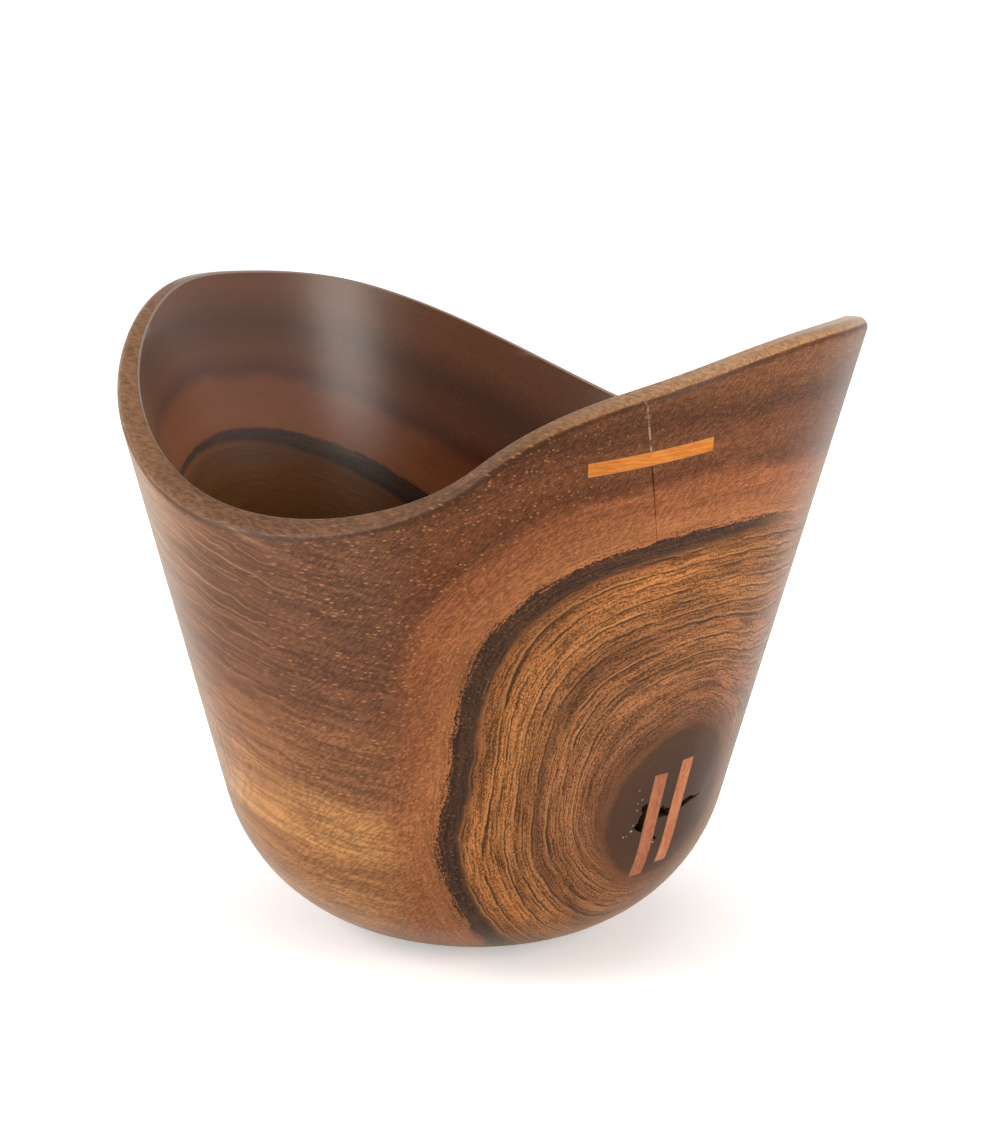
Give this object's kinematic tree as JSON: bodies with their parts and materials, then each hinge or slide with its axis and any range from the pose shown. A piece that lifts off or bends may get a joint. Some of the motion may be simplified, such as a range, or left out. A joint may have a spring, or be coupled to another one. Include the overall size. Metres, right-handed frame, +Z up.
{
  "type": "wooden drinking cup",
  "caption": "Turned drinking cup of dark figured wood with a rounded foot, a wave-cut lip and flush inlaid repairs across a check and a knot.",
  "frame": {"origin": "centre of the flat foot, on the surface that the cup stands on", "axes": "+Z up along the turning axis; -Y towards the front, the side with the knot and the inlays; +X to the right seen from the front"},
  "size_m": [0.1048, 0.1022, 0.0916],
  "materials": {
    "cup_wood": "oiled, satin",
    "key_wood": "oiled, satin",
    "stitch_wood": "oiled, satin",
    "glue": "dark cured wood glue, matte",
    "filler": "pale wood dust set in glue, matte"
  },
  "bodies": {
    "root": {"cup_body": "cup_wood", "crack_key": "key_wood", "crack_key_glue": "glue", "crack_filler": "filler", "knot_stitch_left": "stitch_wood", "knot_stitch_left_glue": "glue", "knot_stitch_right": "stitch_wood", "knot_stitch_right_glue": "glue"}
  },
  "joints": []
}
